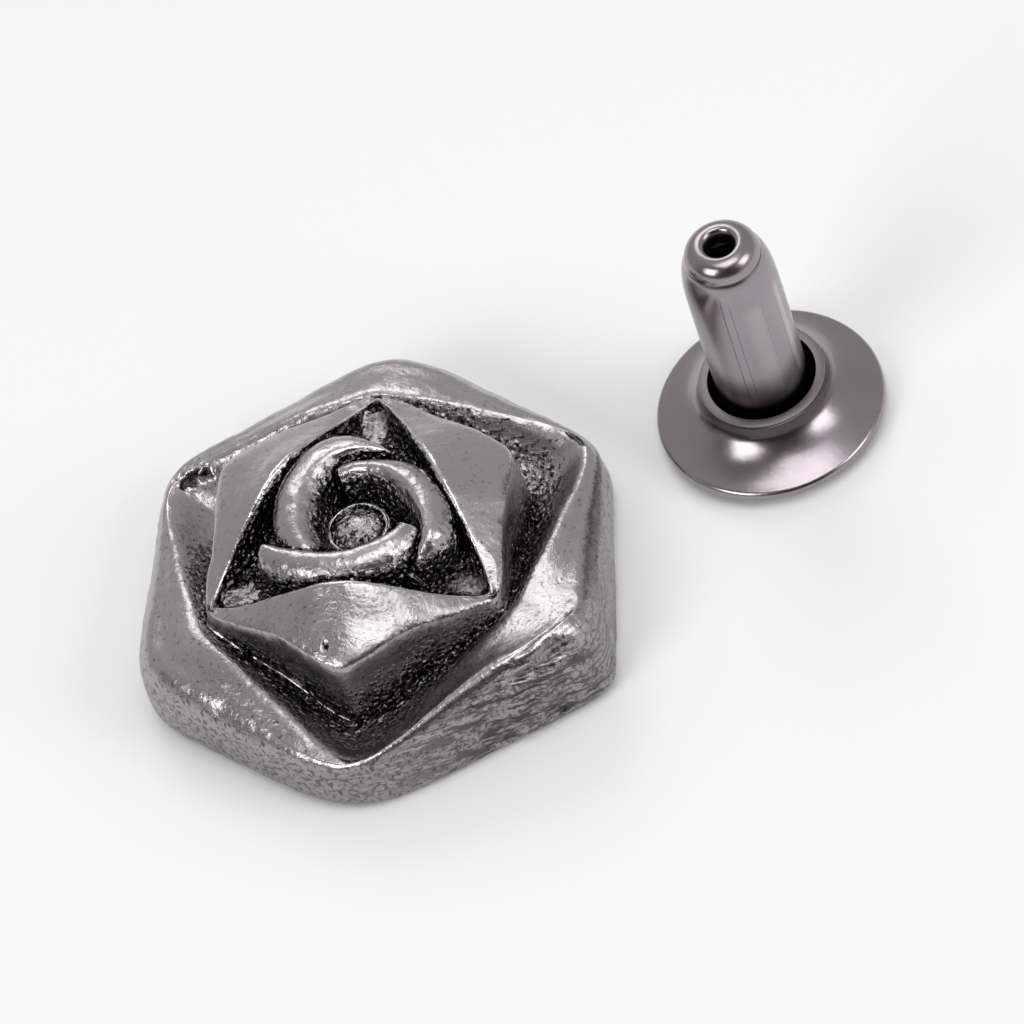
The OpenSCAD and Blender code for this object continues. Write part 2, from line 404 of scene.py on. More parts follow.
def relief_rings(a):
    """Radius and height of every ring at directions a, from the socket over the back and sides to the pit."""
    c = from_corner(a)
    ct = from_corner(a - 3.75)
    wall = outline(a)
    shoulder = wall - ramp([0.16, 0.28, 0.40, 0.48, 0.52, 0.52, 0.50], c)
    crest = np.minimum(ramp([7.45, 6.75, 6.10, 5.75, 5.55, 5.45, 5.55], ct), shoulder - 0.08)
    crest_z = ramp(steps_between(CORNER_Z, PETAL_Z, [0, 0.22, 0.48, 0.70, 0.87, 0.96, 1]), ct)
    up = front_lift(a)
    shoulder_z = ramp([0.94, 1.04, 1.13, 1.20, 1.27, 1.33, 1.36], c) * CORNER_Z + up
    wall_z = ramp([0.72, 0.78, 0.84, 0.90, 0.96, 1.00, 1.03], c) * CORNER_Z + 1.05 * up
    block = ramp([0.990, 0.922, 0.868, 0.846, 0.868, 0.922, 0.990], c) * BLOCK_CORNER
    shares = [0, 0.10, 0.16, 0.10, -0.12, -0.52, -1]
    tops = [BLOCK_TIP + (k if k >= 0 else k * (BLOCK_TIP - BLOCK_LOW)) for k in shares]
    block_z = ramp(tops, c)
    rim = ramp([2.80, 2.84, 2.97, 3.20, 3.58, 4.16, 4.98], c)
    rim_z = ramp(steps_between(BLOCK_LOW, ROSE_Z, [1, 0.967, 0.868, 0.704, 0.493, 0.230, 0]), c)
    foot = rim - ramp([0.20, 0.20, 0.22, 0.26, 0.34, 0.46, 0.62], c)
    valley_z = ramp([1.2, 1.32, 1.62, 1.90, 2.22, 2.58, 2.90], c)
    one = np.ones_like(a)

    def valley(t):
        return mix(block + 0.10, crest - 0.06, t)

    rows = [
        (0.30 * one, SOCKET_DEEP * one),
        ((SOCKET_R - 0.04) * one, SOCKET_DEEP * one),
        (SOCKET_R * one, SOCKET_DEEP * one),
        (SOCKET_R * one, (SOCKET_DEEP - 0.05) * one),
        (SOCKET_R * one, 0.05 * one),
        (SOCKET_R * one, 0.0 * one),
        ((SOCKET_R + 0.05) * one, 0.0 * one),
        (wall - 0.46, 0.0 * one),
        (wall - 0.42, 0.0 * one),
        (wall - 0.14, 0.12 * one),
        (wall - 0.02, 0.38 * one),
        (wall, 0.8 * one),
        (wall - 0.06, wall_z - 0.25),
        (mix(wall, shoulder, 0.40), wall_z + 0.22),
        (shoulder, shoulder_z),
        (mix(shoulder, crest, 0.35), mix(shoulder_z, crest_z, 0.38)),
        (mix(shoulder, crest, 0.68), mix(shoulder_z, crest_z, 0.76)),
        (crest + 0.02, crest_z - 0.02),
        (mix(crest, block + 0.10, 0.10) - 0.02, crest_z - 0.08),
        (valley(0.50), mix(crest_z, valley_z, 0.68)),
        (valley(0.06), valley_z),
        (block + 0.06, valley_z + 0.06),
        (block + 0.02, mix(valley_z, block_z, 0.60)),
        (block - 0.03, block_z - 0.10),
        (block - 0.10, block_z),
        (mix(block, rim, 0.50), mix(block_z, rim_z, 0.47)),
        (mix(block - 0.1, rim + 0.02, 0.92), mix(block_z, rim_z, 0.93)),
        (rim - 0.02, rim_z),
        (rim - 0.10, rim_z - 0.12),
        (foot, mix(rim_z, PIT_Z, 0.80)),
        (mix(foot, 2.1, 0.5), (PIT_Z + 0.05) * one),
        (1.1 * one, PIT_Z * one),
    ]
    return np.array([[r, z] for r, z in rows])


# rows of the table: straight under the back, edges to be eased, the petals' slopes, foot of the block, rim
FLAT_ROWS = 8
EDGE_ROWS = (13, 14, 15, 16, 17, 18, 22, 23, 24, 27, 28)
PETAL_ROWS = (25, 26)
FOOT_ROW = 20
RIM_ROW = 27


def place_on_relief(ring, column, table):
    """Radius and height of points by their ring number and column, on smooth curves through the rings."""
    last = table.shape[0] - 1
    ring = np.clip(ring, 0.0, last - 1e-6)
    i = np.floor(ring).astype(int)
    t = (ring - i)[:, None]
    p0 = table[np.maximum(i - 1, 0), :, column]
    p1 = table[i, :, column]
    p2 = table[i + 1, :, column]
    p3 = table[np.minimum(i + 2, last), :, column]

    def root(v):
        return np.maximum(np.sqrt((v**2).sum(1)), 1e-4)[:, None] ** 0.5

    gaps = root(p1 - p0), root(p2 - p1), root(p3 - p2)
    curve = smooth_between((p0, p1, p2, p3), gaps, t)
    straight = p1 + (p2 - p1) * t
    return np.where((i < FLAT_ROWS)[:, None], straight, curve)


def soften(values, spread_deg, share):
    """Evens out a ring's values along its directions, by a share that may change along it."""
    count = values.shape[-1]
    off = np.arange(count) * 360.0 / count
    off = np.minimum(off, 360.0 - off)
    kernel = np.exp(-0.5 * (off / spread_deg) ** 2)
    kernel = np.fft.rfft(kernel / kernel.sum())
    even = np.fft.irfft(np.fft.rfft(values, axis=-1) * kernel, count, axis=-1)
    return mix(values, even, share)


def round_edges(mesh, rounds):
    """Rounds the convex edges as a casting's are."""
    co, no, edges = mesh_arrays(mesh)
    count = len(co)
    bend = spread(edge_sharpness(co, no, edges), edges, count, 2)
    share = unit((bend - 0.6) / 3.0) * (co[:, 2] > 0.6)
    share = spread(share, edges, count, 2)[:, None]
    for _ in range(rounds):
        middle = np.stack([neighbour_mean(co[:, k], edges, count) for k in range(3)], axis=1)
        co = co + 0.5 * share * (middle - co)
    move_vertices(mesh, co)


def make_relief(columns):
    angles = np.arange(columns) * 360.0 / columns
    table = relief_rings(angles)
    cage = ring_points(angles, table[:, 0, :], table[:, 1, :])
    obj = lofted_tube("relief", cage)
    close_with_point(obj.data, len(cage))
    fill_first_loop(obj.data)
    apply_modifier(obj, "SUBSURF", subdivision_type="SIMPLE", levels=2, render_levels=2)
    mesh = obj.data
    co, _, _ = mesh_arrays(mesh)
    ring = np.zeros(len(co), np.float32)
    mesh.attributes["ring"].data.foreach_get("value", ring)
    fine = columns * 4
    ways = np.arange(fine) * 360.0 / fine
    fine_table = relief_rings(ways)
    for row in EDGE_ROWS:
        fine_table[row] = soften(fine_table[row], 2.2, 1.0)
    near_tip = unit((30.0 - from_corner(ways)) / 18.0)
    for row in PETAL_ROWS:
        fine_table[row] = soften(fine_table[row], 7.0, ease_in_out(near_tip))
    _, turn = polar(co)
    column = np.round(turn % 360.0 * fine / 360.0).astype(int) % fine
    count = len(cage)
    on_rings = (ring < count - 1) & (ring > 0.0)
    rz = place_on_relief(ring.astype(float), column, fine_table)
    new = ring_points(column * 360.0 / fine, rz[:, 0], np.maximum(rz[:, 1], 0.0))
    co[on_rings] = new[on_rings]
    move_vertices(mesh, co)
    return obj


# the three curled petals by direction: foot, crest and outer side from the middle, and drop under the top
CURL_WAY = [232, 226, 205, 185, 165, 145, 125, 108, 95, 84, 76, 68, 62]
CURLS = [
    (
        240, 232.0, 67.0, 8.0,
        [0.95, 0.95, 0.98, 1.02, 1.08, 1.15, 1.45, 1.85, 2.18, 2.38, 2.44, 2.48, 2.50],
        [1.55, 1.56, 1.60, 1.62, 1.70, 1.82, 2.05, 2.34, 2.62, 2.74, 2.72, 2.68, 2.66],
        [2.02, 2.04, 2.08, 2.16, 2.48, 2.82, 3.04, 3.15, 3.24, 3.16, 3.00, 2.86, 2.80],
        [0.34, 0.28, 0.18, 0.08, 0.00, 0.00, 0.00, 0.00, 0.04, 0.24, 0.62, 1.15, 1.55],
    ),
    (
        0, 232.0, 62.0, 8.0,
        [0.84, 0.82, 0.78, 0.76, 0.80, 0.92, 1.28, 1.68, 1.86, 1.96, 2.04, 2.12, 2.16],
        [1.70, 1.70, 1.65, 1.60, 1.66, 1.81, 2.02, 2.14, 2.18, 2.22, 2.25, 2.30, 2.32],
        [2.28, 2.30, 2.38, 2.47, 2.66, 2.84, 3.09, 3.16, 3.04, 2.86, 2.70, 2.56, 2.46],
        [0.30, 0.15, 0.10, 0.03, 0.00, 0.00, 0.02, 0.04, 0.07, 0.11, 0.16, 0.24, 0.32],
    ),
    (
        120, 221.0, 78.0, 10.0,
        [1.32, 1.30, 1.16, 1.02, 0.98, 1.04, 1.20, 1.45, 1.75, 2.10, 2.42, 2.60, 2.66],
        [1.80, 1.80, 1.72, 1.62, 1.62, 1.70, 1.86, 2.08, 2.36, 2.66, 2.86, 2.96, 3.00],
        [2.40, 2.42, 2.48, 2.50, 2.52, 2.60, 2.78, 2.98, 3.12, 3.20, 3.20, 3.20, 3.20],
        [0.30, 0.16, 0.03, 0.00, 0.00, 0.00, 0.00, 0.02, 0.05, 0.10, 0.20, 0.40, 0.60],
    ),
]


# the section of a curled petal, from its foot to the crest and from the crest to its outer side: share of
# the way and depth under the crest, where BURIED stands for a point under the floor of the recess
BURIED = -9
CURL_INNER = ((0, BURIED), (0, -1.38), (0.20, -0.92), (0.45, -0.46), (0.68, -0.16), (0.86, -0.02))
CURL_OUTER = (
    (0, 0.04), (0.30, 0.02), (0.60, -0.08), (0.86, -0.30), (1.02, -0.70), (1.07, -1.20), (1.07, BURIED),
)


def curl_section(foot, crest, out):
    """Places and depths across the band, from its foot in the pit over the crest to its outer side."""
    near = [(mix(foot, crest, share), depth) for share, depth in CURL_INNER]
    return near + [(mix(crest, out, share), depth) for share, depth in CURL_OUTER]


def make_curl(height, first, last, slant, tables):
    """One curled petal: a rounded band swept along a spiral in the recess, its tail cut off at a slant."""
    ways = [first, first - 0.6] + list(np.linspace(first - 2, last + 2, 32)) + [last + 0.6, last]
    rings = []
    for way in ways:
        foot, crest, out, drop = [np.interp(-way, [-w for w in CURL_WAY], t) for t in tables]
        rad = math.radians(way)
        loop = []
        tail = min(max((120.0 - way) / 45.0, 0.0), 1.0)
        lag = math.radians(slant) * ease_in_out(tail)
        for r, depth in curl_section(foot, crest, out):
            z = PIT_Z - 0.75 if depth == BURIED else max(height - drop + depth, PIT_Z - 0.45)
            turn = rad + lag * (r - foot) / (out - foot)
            loop.append((r * math.cos(turn), r * math.sin(turn), z))
        rings.append(loop)
    obj = lofted_tube("curl", np.array(rings))
    bpy.ops.mesh.edge_face_add()
    fill_first_loop(obj.data)
    apply_modifier(obj, "SUBSURF", levels=2, render_levels=2)
    return obj


def make_bud():
    """The low rough dome inside a thin raised ring at the bottom of the pit."""
    r, h = BUD_R, BUD_Z
    rise = [(1.3, h - 0.28), (r + 0.06, h - 0.10), (r + 0.02, h), (r - 0.03, h), (r - 0.07, h - 0.10)]
    ring = sharp_curve(rise, 3)
    dome = sharp_curve([(r - 0.07, h - 0.10), (r - 0.35, h), (0.25, h + 0.08), (0.0, h + 0.1)], 5)
    profile = [(1.3, PIT_Z - 0.5)] + ring[:-1] + dome + [(0.0, PIT_Z - 0.5)]
    obj = spun_piece("bud", profile, (0, 0), 72)
    obj.data.transform(Matrix.Scale(1 / MM, 4))
    return obj


def mesh_arrays(mesh):
    n = len(mesh.vertices)
    co = np.zeros(n * 3, np.float32)
    mesh.vertices.foreach_get("co", co)
    no = np.zeros(n * 3, np.float32)
    mesh.vertex_normals.foreach_get("vector", no)
    ed = np.zeros(len(mesh.edges) * 2, np.int32)
    mesh.edges.foreach_get("vertices", ed)
    return co.reshape(-1, 3).astype(float), no.reshape(-1, 3).astype(float), ed.reshape(-1, 2)


def neighbour_mean(values, edges, count):
    links = np.maximum(np.bincount(edges.ravel(), minlength=count), 1)
    total = np.bincount(edges[:, 0], values[edges[:, 1]], count)
    total = total + np.bincount(edges[:, 1], values[edges[:, 0]], count)
    return total / links


def spread(values, edges, count, rounds):
    """Evens out a value over the surface by averaging with the neighbours."""
    for _ in range(rounds):
        values = 0.5 * values + 0.5 * neighbour_mean(values, edges, count)
    return values


def edge_sharpness(co, no, edges):
    """How convex (over 0) or concave (under 0) the surface is at every vertex, in 1/mm."""
    way = co[edges[:, 1]] - co[edges[:, 0]]
    square = np.maximum((way**2).sum(1), 1e-6)
    first = -(way * no[edges[:, 0]]).sum(1) / square
    second = (way * no[edges[:, 1]]).sum(1) / square
    count = len(co)
    total = np.bincount(edges[:, 0], first, count) + np.bincount(edges[:, 1], second, count)
    links = np.maximum(np.bincount(edges.ravel(), minlength=count), 1)
    return 2 * total / links


def shelter(mesh, co, no, rays, reach):
    """Share of the directions over each vertex that the piece itself blocks within reach."""
    tree = BVHTree.FromPolygons(
        [tuple(c) for c in co], [tuple(p.vertices) for p in mesh.polygons], epsilon=0.0
    )
    rng = np.random.default_rng(7)
    z = np.sqrt((np.arange(rays) + 0.5) / rays)
    turn = np.arange(rays) * 2.399963
    side = np.sqrt(1 - z * z)
    local = np.stack([side * np.cos(turn), side * np.sin(turn), z], axis=1)
    blocked = np.zeros(len(co))
    spin_all = rng.random(len(co)) * 2 * math.pi
    for i in range(len(co)):
        n = Vector(no[i])
        start = Vector(co[i]) + n * 0.02
        basis = n.to_track_quat("Z", "Y").to_matrix()
        c, s = math.cos(spin_all[i]), math.sin(spin_all[i])
        hit = 0
        for x, y, up in local:
            way = basis @ Vector((x * c - y * s, x * s + y * c, up))
            if tree.ray_cast(start, way, reach)[0] is not None:
                hit += 1
        blocked[i] = hit / rays
    return blocked


def patina_share(co):
    """How much of the black finish stays, by place: more in the recess, less in the open valleys."""
    radius, way = polar(co)
    way = way % 360.0
    within = unit((relief_rings(way)[RIM_ROW, 0] + 0.05 - radius) / 0.1)
    bud = unit((1.05 - radius) / 0.15) * (co[:, 2] > PIT_Z - 0.3)
    back = unit((way - 92.0) / 14.0) * unit((172.0 - way) / 14.0)
    valley = 0.80 - 0.40 * back
    return mix(valley, 1.12, within) - 0.10 * bud


def corner_facets(co):
    """The plain facets in the three corners of the recess, which stay free of the black finish and take
    painted shade.
    """
    radius, way = polar(co)
    off = np.abs(np.mod(way - 90.0 + 60.0, 120.0) - 60.0)
    band = unit((radius - 3.2) / 0.3) * unit((4.75 - radius) / 0.2)
    return band * unit((8.5 - off) / 4.5) * (co[:, 2] > PIT_Z - 0.1)


def store(mesh, name, values):
    att = mesh.attributes.new(name, "FLOAT", "POINT")
    att.data.foreach_set("value", values.astype(np.float32))


# Marks of the casting


# the fold at the front right corner, as seen from above, and the crack under it
FOLD_LINE = [
    (5.00, -5.05), (5.32, -4.76), (5.62, -4.50), (5.95, -4.12),
    (6.25, -3.86), (6.50, -3.55), (6.74, -3.12), (6.84, -2.80),
]
FOLD_LOW = [(5.78, -4.60, 2.95), (6.10, -4.33, 3.05), (6.45, -4.10, 3.10), (6.72, -3.80, 3.08)]
# holes and pits: middle, radius and depth
HOLES = [((-6.12, 3.52, 2.0), 0.26, 0.20), ((-5.66, 3.68, 1.97), 0.18, 0.15)]
PITS = [
    ((-0.43, -4.50, 4.15), 0.10, 0.10),
    ((-3.10, 2.05, 4.35), 0.06, 0.05),
    ((-2.20, 3.95, 4.2), 0.05, 0.05),
]
# the bead along the foot of the block: its first and last direction, and its place between the rings
BEAD_WAYS = (207.0, 268.0, 20.7)
# the thin outline of a curled petal's tail and a short seam beside it, each with its lowest and highest z
SEAMS = [
    (
        [
            (2.87, 0.29), (3.05, -0.45), (3.08, -1.19), (2.86, -1.60),
            (2.48, -1.89), (2.07, -1.95), (1.70, -1.84),
        ],
        3.2, 4.3,
    ),
    ([(1.58, -0.60), (1.52, -1.20), (1.44, -1.90)], 3.4, 4.8),
]


def flat_line(points):
    return [(x, y, 0.0) for x, y in points]


def distance_to_line(co, points):
    """Distance of every vertex from a line of straight pieces, and its place along it from 0 to 1."""
    best = np.full(len(co), 1e9)
    where = np.zeros(len(co))
    pts = np.array(points)
    pieces = len(pts) - 1
    for k in range(pieces):
        a, b = pts[k], pts[k + 1]
        t = unit(((co - a) @ (b - a)) / ((b - a) @ (b - a)))
        d = np.sqrt(((co - (a + t[:, None] * (b - a))) ** 2).sum(1))
        closer = d < best
        best[closer] = d[closer]
        where[closer] = (k + t[closer]) / pieces
    return best, where


def refine_near(obj, test, cuts):
    """Subdivides the faces whose middle passes the test."""
    pick(obj)
    bpy.ops.object.mode_set(mode="EDIT")
    bpy.ops.mesh.select_mode(type="FACE")
    bpy.ops.mesh.select_all(action="DESELECT")
    bm = bmesh.from_edit_mesh(obj.data)
    for f in bm.faces:
        if test(f.calc_center_median()):
            f.select = True
    bmesh.update_edit_mesh(obj.data)
    bpy.ops.mesh.subdivide(number_cuts=cuts, smoothness=0.0)
    bpy.ops.mesh.select_mode(type="VERT")
    bpy.ops.object.mode_set(mode="OBJECT")


def noise_at(points):
    return np.array([noise.noise(Vector(p)) for p in points])


def cast_skin(co, no, radius, way):
    """Unevenness of the whole casting, with the hammered walls of the recess and of the pit."""
    push = 0.030 * noise_at(co * 0.9 + 11.0) + 0.018 * noise_at(co * 2.6 + 3.0)
    push = push + 0.008 * noise_at(co * 6.5)
    inside = (co[:, 2] > PIT_Z - 0.1) & (radius < relief_rings(way % 360.0)[RIM_ROW, 0] - 0.02)
    steep = unit(1.1 - np.abs(no[:, 2]) * 1.3)
    hammered = np.where(inside, steep, 0.0) * 0.060 * noise_at(co * 5.6 + 7.0)
    return push + hammered * (1 - corner_facets(co))


def side_streaks(co, no, radius, way):
    """Streaks across the front right side: how far they push, and where they lie."""
    side = unit(1.2 - np.abs(no[:, 2]) * 1.8) * (radius > 6.0)
    toward = bell_curve(way + 46.0, 36.0) * side
    along = co[:, 0] * 0.866 + co[:, 1] * 0.5
    out = co[:, 0] * 0.5 - co[:, 1] * 0.866
    run = [(along - 0.14 * co[:, 2]) * 1.1, out * 0.8, (co[:, 2] + 0.14 * along) * 4.8]
    run = np.stack(run, axis=1)
    return toward * (0.13 * noise_at(run) + 0.07 * noise_at(run * 2.1 + 5.0)), toward


def thin_seams(co, flat):
    """Strength of the broken bead along the foot of the block and of the seams in the recess."""
    first, last, row = BEAD_WAYS
    ways = np.arange(first, last + 0.1, 1.0)
    table = relief_rings(ways)
    r, z = mix(table[FOOT_ROW], table[FOOT_ROW + 1], row - FOOT_ROW)
    near, _ = distance_to_line(co, ring_points(ways, r, z))
    broken = unit(0.75 + 1.2 * noise_at(co * 4.0 + 9.0))
    ridge = bell_curve(near, 0.045) * broken
    for line, low, high in SEAMS:
        near, _ = distance_to_line(flat, flat_line(line))
        level = (co[:, 2] > low) * (co[:, 2] < high)
        ridge = np.maximum(ridge, bell_curve(near, 0.055) * broken * level)
    return ridge


def side_fold(co, flat, depth):
    """The fold with its two lips at the front right corner: how far it pushes, and how dark it is."""
    d, t = distance_to_line(flat, flat_line(FOLD_LINE))
    d = d + 0.03 * noise_at(co * 4.0 + 6.0)
    ends = unit(t * 2.2) * unit((1 - t) * 3.5) * unit((co[:, 2] - 2.9) / 0.25)
    groove, _ = distance_to_line(flat, flat_line((x - 0.12, y + 0.12) for x, y in FOLD_LINE))
    push = ends * 0.75 * depth * bell_curve(d, 0.11)
    push = push - ends * 0.55 * depth * bell_curve(groove, 0.045)
    low, t = distance_to_line(co, FOLD_LOW)
    ends_low = unit(np.minimum(t, 1 - t) * 4.0)
    wave = 1 + 0.5 * noise_at(co * 3.0 + 2.0)
    push = push - ends_low * 0.4 * depth * wave * bell_curve(low, 0.08)
    ragged = unit(0.5 + 2.2 * noise_at(co * 5.5 + 4.0))
    under = bell_curve(low, 0.09) * ends_low * ragged
    return push, np.maximum(bell_curve(groove, 0.035) * ends, under)


def weather_casting(mesh, fold_depth):
    """Moves the vertices by the unevenness, streaks, fold and holes of the real casting."""
    co, no, _ = mesh_arrays(mesh)
    flat = co * np.array([1.0, 1.0, 0.0])
    radius, way = polar(co)
    seen = unit((co[:, 2] - 0.05) / 0.2) * (radius > SOCKET_R + 0.3)
    seen = np.maximum(seen, co[:, 2] > SOCKET_DEEP + 0.4)
    streaks, toward = side_streaks(co, no, radius, way)
    ridge = thin_seams(co, flat)
    fold, dark = side_fold(co, flat, fold_depth)
    push = cast_skin(co, no, radius, way) + streaks + 0.05 * ridge + fold
    rough = noise_at(co * 5.0 + 1.0)
    for middle, wide, deep in HOLES + PITS:
        gap = np.sqrt(((co - np.array(middle)) ** 2).sum(1)) * (1 + (0.4 + wide) * rough)
        dent = np.exp(-((gap / wide) ** 4))
        push = push - deep * dent
        dark = np.maximum(dark, dent)
    # the bud's ring is also painted bright: rubbed wear and a painted highlight
    bud_ring = bell_curve(radius - BUD_R, 0.05) * (co[:, 2] > 3.55) * (co[:, 2] < 4.1)
    co = co + no * (push * seen)[:, None]
    co[:, 2] = np.maximum(co[:, 2], 0.0)
    move_vertices(mesh, co)
    return dark * seen, toward, np.maximum(ridge, 0.8 * bud_ring)


# how dark, rubbed and grimy the casting is, by vertex, with painted shade on its outer sides and corner
# facets
SHELTER_REACH = 2.6
SHELTER_RAYS = 14


def store_finish(mesh, crack, streaks, ridge):
    """Stores how sharp, sheltered, cracked and streaked the casting is at every vertex, and its dirt with
    painted shade.
    """
    co, no, edges = mesh_arrays(mesh)
    count = len(co)
    bend = edge_sharpness(co, no, edges)
    radius, _ = polar(co)
    stays = patina_share(co)
    facets = corner_facets(co)
    rays = SHELTER_RAYS
    covered = spread(shelter(mesh, co, no, rays, SHELTER_REACH), edges, count, 4)
    hollow = np.clip(-spread(bend, edges, count, 6) / 6.0, 0, 0.5)
    low = unit((4.75 - co[:, 2]) / 0.7) * (stays > 1.0) * (radius > 1.0)
    covered = (covered + hollow + 0.34 * low) * (1 - 0.85 * ridge) * (1 - 0.85 * facets) * stays
    # the mask of dirt: in the sheltered hollows, with painted shade on the steep outer sides and on the
    # corner facets, and darker towards the front; it also brings more specks and bumps
    flank = unit(1.25 - np.abs(no[:, 2]) * 1.6) * (radius > 6.0)
    front = unit((2.0 - co[:, 1]) / 7.0)
    grime_and_shade = 0.08 + 0.16 * front + 0.60 * flank + 1.1 * covered + 0.55 * facets
    # the bead, the seams and the bud's ring are painted bright along their lines and kept out of the black
    # finish: rubbed wear and a painted highlight
    store(mesh, "sharp", np.clip(spread(bend, edges, count, 2) / 5.0 + 1.2 * ridge, 0, 1.5))
    store(mesh, "shelter", np.clip(covered, 0, 1.5))
    for name, values in (("crack", crack), ("streak", streaks), ("grime_and_shade", grime_and_shade)):
        store(mesh, name, unit(values))


# Helpers for materials


def put(tree, kind, **values):
    node = tree.nodes.new(kind)
    for key, value in values.items():
        setattr(node, key, value)
    return node


def join(tree, source, target):
    tree.links.new(source, target)


def feed(tree, slot, value):
    """Joins an input to another node's output, or sets it to a number or colour."""
    if isinstance(value, bpy.types.NodeSocket):
        join(tree, value, slot)
    else:
        slot.default_value = value


def lay_out(tree):
    """Places the nodes in columns, each to the left of the ones that it feeds."""
    steps = {node.name: 0 for node in tree.nodes}
    for _ in range(len(steps)):
        for link in tree.links:
            source = link.from_node.name
            steps[source] = max(steps[source], steps[link.to_node.name] + 1)
    rows = dict.fromkeys(steps.values(), 0)
    for node in tree.nodes:
        column = steps[node.name]
        node.location = (-220 * column, -260 * rows[column])
        rows[column] += 1


def calc(tree, operation, first, second=None, third=None):
    """A Math node on sockets or plain numbers; gives its output."""
    node = put(tree, "ShaderNodeMath", operation=operation)
    for slot, value in enumerate((first, second, third)):
        if value is not None:
            feed(tree, node.inputs[slot], value)
    return node.outputs[0]


def ease(tree, value, low, high):
    """A smooth step of value from low to high; gives its output."""
    node = put(tree, "ShaderNodeMapRange", interpolation_type="SMOOTHSTEP")
    join(tree, value, node.inputs["Value"])
    node.inputs["From Min"].default_value = low
    node.inputs["From Max"].default_value = high
    return node.outputs["Result"]


def blend_colours(tree, share, first, second):
    node = put(tree, "ShaderNodeMix", data_type="RGBA")
    for slot, value in ((0, share), (6, first), (7, second)):
        feed(tree, node.inputs[slot], value)
    return node.outputs[2]


def noise_texture(tree, place, scale, detail, roughness=0.5):
    """Clouds at the given places; gives their strength."""
    node = put(tree, "ShaderNodeTexNoise")
    labels = ("Vector", "Scale", "Detail", "Roughness")
    for label, value in zip(labels, (place, scale, detail, roughness)):
        feed(tree, node.inputs[label], value)
    return node.outputs["Fac"]


def cell_texture(tree, place, scale, feature="F1"):
    """Distance from the middles of small cells."""
    node = put(tree, "ShaderNodeTexVoronoi", feature=feature)
    feed(tree, node.inputs["Vector"], place)
    feed(tree, node.inputs["Scale"], scale)
    return node.outputs["Distance"]


def height_of(tree, place):
    node = put(tree, "ShaderNodeSeparateXYZ")
    join(tree, place, node.inputs[0])
    return node.outputs["Z"]


def toned(colour, red, green, blue):
    """The colour with its red, green and blue scaled."""
    return (colour[0] * red, colour[1] * green, colour[2] * blue, 1.0)


def new_group(name, numbers, outputs, placed=True):
    """An empty node group that takes places, where it needs them, and numbers with their defaults."""
    tree = bpy.data.node_groups.new(name, "ShaderNodeTree")
    if placed:
        tree.interface.new_socket(name="Vector", in_out="INPUT", socket_type="NodeSocketVector")
    for label, value in numbers.items():
        sock = tree.interface.new_socket(name=label, in_out="INPUT", socket_type="NodeSocketFloat")
        sock.default_value = value
    for label in outputs:
        tree.interface.new_socket(name=label, in_out="OUTPUT", socket_type="NodeSocketFloat")
    return tree, put(tree, "NodeGroupInput").outputs, put(tree, "NodeGroupOutput").inputs


def grain_group():
    """Grain, specks and clouds of a casting or plated sheet, from places in mm; the mask of dirt and painted
    shade brings more.
    """
    numbers = {"Fine": 9.0, "Cloud": 1.1, "Pits": 3.0, "Grime": 0.1}
    tree, given, result = new_group("metal_grain", numbers, ["Height", "Specks", "Clouds"])
    fine = noise_texture(tree, given["Vector"], given["Fine"], 3.0, 0.6)
    cloud = noise_texture(tree, given["Vector"], given["Cloud"], 4.0)
    holes = ease(tree, cell_texture(tree, given["Vector"], given["Pits"]), 0.04, 0.12)
    kept = calc(tree, "MAXIMUM", holes, ease(tree, cloud, 0.38, 0.50))
    share = calc(tree, "MULTIPLY_ADD", given["Grime"], 1.4, 0.65)
    grain = calc(tree, "MULTIPLY", fine, share)
    join(tree, calc(tree, "ADD", grain, calc(tree, "MULTIPLY", kept, 0.5)), result["Height"])
    level = calc(tree, "MULTIPLY_ADD", given["Grime"], 0.18, fine)
    level = calc(tree, "MULTIPLY_ADD", cloud, 0.12, level)
    join(tree, ease(tree, level, 0.66, 0.84), result["Specks"])
    join(tree, cloud, result["Clouds"])
    lay_out(tree)


def rub_group():
    """Where the metal is rubbed bright and where its black finish stays, broken up by specks and clouds."""
    numbers = {"Sharp": 0.0, "Shelter": 0.0, "Specks": 0.0, "Clouds": 0.5}
    tree, given, result = new_group("rub_and_patina", numbers, ["Rubbed", "Blackened"], placed=False)
    bits = calc(tree, "MULTIPLY_ADD", given["Specks"], 0.20, -0.06)
    lumps = calc(tree, "MULTIPLY_ADD", given["Clouds"], 0.40, -0.20)
    dirt = calc(tree, "ADD", given["Shelter"], calc(tree, "ADD", bits, lumps))
    black = ease(tree, dirt, 0.26, 0.60)
    worn = calc(tree, "SUBTRACT", given["Sharp"], calc(tree, "MULTIPLY", given["Specks"], 0.25))
    bright = calc(tree, "MULTIPLY", ease(tree, worn, 0.25, 1.0), calc(tree, "SUBTRACT", 1.0, black))
    join(tree, bright, result["Rubbed"])
    join(tree, black, result["Blackened"])
    lay_out(tree)


